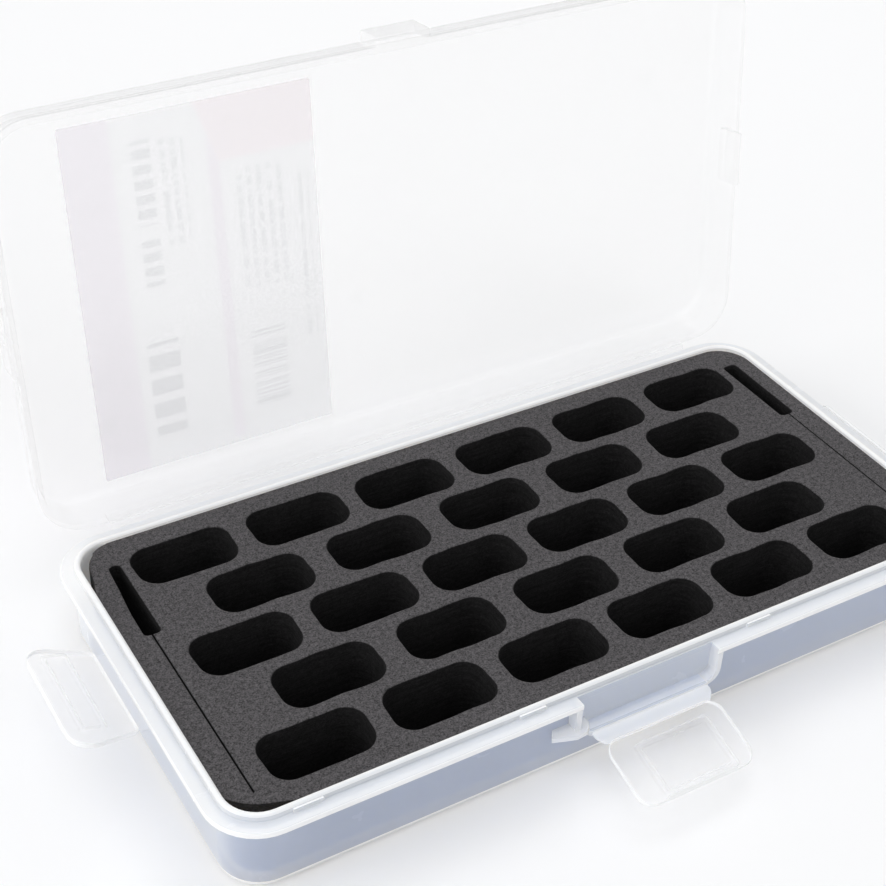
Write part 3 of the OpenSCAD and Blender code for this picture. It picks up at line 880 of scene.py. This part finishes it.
def foam_insert():
    """The insert with its brick pattern of pockets."""
    half_x, half_y = FOAM_HIGH.x, FOAM_HIGH.y
    outer = rounded_outline(half_x, half_y, FOAM_CORNER, steps=10, spacing=2.5 * MM)
    centre = Vector((-half_x + FOAM_CORNER, -half_y + FOAM_CORNER))
    outlines = [[pressed_back(point, centre) for point in outer]]
    for row in range(-2, 3):
        count, pitch = FULL_ROW if row % 2 == 0 else SHORT_ROW
        for i in range(count):
            at = ((i - (count - 1) / 2) * pitch, row * ROW_PITCH)
            pocket = rounded_outline(POCKET[0] / 2, POCKET[1] / 2, POCKET_CORNER, at=at, steps=10,
                                     spacing=1.5 * MM)
            outlines.append(hand_cut(pocket, at, 1.7 * i + 2.9 * row))
    outlines += [end_cut(-1), end_cut(1)]
    insert = slab("foam_block", outlines, FOAM_LOW.z, FOAM_HIGH.z, 0.4 * MM)
    # The thin strip outside the back left slot has bowed in from the wall, its outer side most.
    for vert in insert.data.vertices:
        if vert.co.x < -79.0 * MM:
            start, length, most = 15 * MM, 18 * MM, 1.1 * MM
            if vert.co.x < -half_x + 3 * MM:
                start, length, most = 25 * MM, 9 * MM, 1.7 * MM
            share = min(max((vert.co.y - start) / length, 0.0), 1.0)
            vert.co.x += most * share * share * (3 - 2 * share)
    return smooth(insert, 50)


def foam_pad():
    """The plain pad that the bobbins rest on."""
    inset = 0.9 * MM
    outline = rounded_outline(FOAM_HIGH.x - inset, FOAM_HIGH.y - inset, 6.9 * MM)
    pad = slab("foam_base", [outline], PAD_LOW.z + 0.03 * MM, PAD_HIGH.z - 0.02 * MM, 0.9 * MM, 6)
    return smooth(pad, 50)


# ---------------------------------------------------------------- assembly


# Each of these picks the faces that trim gives another look, from a face's centre and normal.


def tray_edge(place, normal):
    """The lip's top and the flange's outer edge, painted near white as a painted highlight where
    light comes out along the plastic.
    """
    out = reach_out(place, WALL_X, WALL_Y, WALL_CORNER)
    # The foam stands off the wall in the back left corner, and the wall there is painted near white
    # as painted light over its shade.
    gap = place.x < -74 * MM and place.y > 28 * MM and out < -0.9 * MM and place.z > 4 * MM
    rim = place.z > FLANGE_BOTTOM - 0.1 * MM and out > FLANGE_REACH - 0.25 * MM
    return place.z > LIP_PEAK - 0.55 * MM or rim or gap


def tray_flange(place, normal):
    """The flange and the lip's sides."""
    out = reach_out(place, WALL_X, WALL_Y, WALL_CORNER)
    top = out > -0.8 * MM and normal.z > 0.9 and abs(place.z - FLANGE_TOP) < 0.1 * MM
    return top or place.z > FLANGE_TOP or (out > 0.3 * MM and place.z > FLANGE_BOTTOM - 0.1 * MM)


def tray_seat(place, normal):
    """The drop plates, the ledge's front edge and the wedge beside it."""
    plates = abs(place.x) > NOTCH_HALF - 2.3 * MM or place.y < LEDGE_FRONT + 0.2 * MM
    return (place.y < -WALL_Y - 0.05 * MM and abs(place.x) < 23 * MM and plates
            and place.z < FLANGE_BOTTOM + 0.6 * MM)


def tray_bottom(place, normal):
    """The rounded edge round the tray's underside, painted whiter and warm as painted light coming
    through the floor.
    """
    return place.z < 2.0 * MM and reach_out(place, WALL_X, WALL_Y, WALL_CORNER) > -2.0 * MM


def rim_of_lid(place, normal):
    """The lid's free rim, its tab and its side catches."""
    closed = closed_to_rest("lid_hinge").inverted() @ place
    out = reach_out(closed, LID_X, LID_Y, LID_CORNER)
    return closed.z < LID_BOTTOM + 0.35 * MM or out > 0.05 * MM


def plate_edge(joint_name, across, root, length):
    """The faces round a latch's outline, but not those of its ribs.

    across is the way through its plate, root its neck's height and length the plate's height.
    """
    half_width, border = 12.0 * MM, 0.5 * MM
    back = closed_to_rest(joint_name).inverted()

    def chosen(place, normal):
        closed = back @ place
        height = closed.z - JOINTS[joint_name]["pos_m"][2] - root
        width = abs(closed.x if across.y else closed.y)
        rim = min(height, length - height, half_width - width) < border
        return rim and abs((back.to_3x3() @ normal).dot(across)) < 0.8
    return chosen


base = finish_piece(tray(), "base", "base_tray", CLEAR_PLASTIC)
trim(base, FLANGE_PLASTIC, tray_flange)
trim(base, EDGE_HIGHLIGHT_PLASTIC, tray_edge)
trim(base, SEAT_PLASTIC, tray_seat)
trim(base, THICK_BASE_LIT_PLASTIC, tray_bottom)

finish_piece(foam_insert(), "base", "foam_insert", BLACK_FOAM)
finish_piece(foam_pad(), "base", "foam_floor_pad", SHADED_PAD_FOAM)

cover = finish_piece(lid(), "lid", "lid", LID_PLASTIC)
trim(cover, LATCH_PLASTIC, rim_of_lid)
sheet, hinge_corner, label_across, label_up = label()
print_look = label_paper("label_print", hinge_corner, label_across, label_up)
finish_piece(sheet, "lid", "label", print_look)

# The flaps' rims, front and sides, get the edge plastic: partly their milkiness along the long
# path, partly a painted highlight.
flap = finish_piece(front_latch(), "front_latch", "front_latch", LATCH_PLASTIC)
trim(flap, EDGE_HIGHLIGHT_PLASTIC, plate_edge("front_latch_hinge", Vector((0, 1, 0)), FRONT_NECK,
                                    2 * FRONT_HALF_HEIGHT))
for side, body in ((-1, "left_latch"), (1, "right_latch")):
    flap = finish_piece(side_latch(side), body, body, LATCH_PLASTIC)
    flap.name = body.replace("latch", "flap")
    trim(flap, EDGE_HIGHLIGHT_PLASTIC, plate_edge(body + "_hinge", Vector((1, 0, 0)), SIDE_NECK,
                                        SIDE_HEIGHT))
    finish_piece(side_film(side), None, body + "_film", LATCH_PLASTIC)
finish_piece(lid_film(), None, "lid_hinge_film", LATCH_PLASTIC)
finish_piece(front_film(), None, "front_latch_film", NECK_PLASTIC)


# ---------------------------------------------------------------- stage, light and camera


def floor():
    """A plain pale floor that isn't part of the object."""
    bm = bmesh.new()
    bmesh.ops.create_grid(bm, x_segments=1, y_segments=1, size=6.0)
    ground = mesh_from("floor", bm)
    n = Nodes("white_table")
    surface = n.add("ShaderNodeBsdfDiffuse", Color=(0.92, 0.92, 0.924, 1.0))
    ground.data.materials.append(n.done(surface.outputs[0]))


def area_light(name, at, size, power):
    """A soft white light that faces the box."""
    lamp = bpy.data.lights.new(name, "AREA")
    lamp.shape = "RECTANGLE"
    lamp.size, lamp.size_y = size
    lamp.energy = power
    holder = bpy.data.objects.new(name, lamp)
    holder.location = at
    holder.rotation_euler = (-Vector(at)).to_track_quat("-Z", "Y").to_euler()
    bpy.context.scene.collection.objects.link(holder)


def sky(strength, lean):
    """A soft sky that is brighter the way lean points, and plain white to the camera."""
    world = bpy.data.worlds.new("studio")
    world.use_nodes = True
    tree = world.node_tree
    background = tree.nodes["Background"]
    background.inputs["Color"].default_value = (0.985, 0.99, 1.0, 1.0)
    way = tree.nodes.new("ShaderNodeTexCoord")
    along = tree.nodes.new("ShaderNodeVectorMath")
    along.operation = "DOT_PRODUCT"
    along.inputs[1].default_value = lean
    level = tree.nodes.new("ShaderNodeMath")
    level.operation = "MULTIPLY_ADD"
    level.inputs[1].default_value = strength
    level.inputs[2].default_value = strength
    tree.links.new(way.outputs["Generated"], along.inputs[0])
    tree.links.new(along.outputs["Value"], level.inputs[0])
    seen = tree.nodes.new("ShaderNodeLightPath")
    plain = tree.nodes.new("ShaderNodeMix")
    plain.inputs["B"].default_value = 0.95
    tree.links.new(seen.outputs["Is Camera Ray"], plain.inputs["Factor"])
    tree.links.new(level.outputs[0], plain.inputs["A"])
    tree.links.new(plain.outputs["Result"], background.inputs["Strength"])
    bpy.context.scene.world = world


def camera(at, azimuth, elevation, roll, lens):
    """The camera at a place, looking along an azimuth and down by an elevation, in degrees."""
    a, e = math.radians(azimuth), math.radians(elevation)
    back = Vector((math.sin(a) * math.cos(e), -math.cos(a) * math.cos(e), math.sin(e)))
    turn = (-back).to_track_quat("-Z", "Y").to_matrix().to_4x4()
    holder = bpy.data.objects.new("camera", bpy.data.cameras.new("camera"))
    holder.matrix_world = (Matrix.Translation(at) @ turn
                           @ Matrix.Rotation(math.radians(roll), 4, "Z"))
    holder.data.lens = lens
    holder.data.sensor_width = 36.0
    holder.data.clip_start, holder.data.clip_end = 0.01, 20.0
    bpy.context.scene.collection.objects.link(holder)
    bpy.context.scene.camera = holder


floor()
sky(strength=0.54, lean=(-0.65, -0.15, 0.0))
area_light("overhead", at=(-0.25, -0.2, 2.5), size=(1.3, 1.3), power=13.6)
area_light("behind", at=(0.9, 1.0, 2.0), size=(1.3, 1.3), power=14.0)
area_light("window", at=(-2.8, -0.1, 1.3), size=(2.2, 1.4), power=22.0)
area_light("front", at=(0.5, -2.0, 1.5), size=(1.4, 1.0), power=6.0)
camera(at=(-0.1630, -0.2269, 0.2500), azimuth=-31.85, elevation=36.56, roll=2.51, lens=69.64)
scene = bpy.context.scene
scene.view_settings.view_transform = "Standard"
# Light crosses many walls of clear plastic here, so it needs more bounces than usual.
scene.cycles.max_bounces = 16
scene.cycles.diffuse_bounces = 10
scene.cycles.transparent_max_bounces = 24
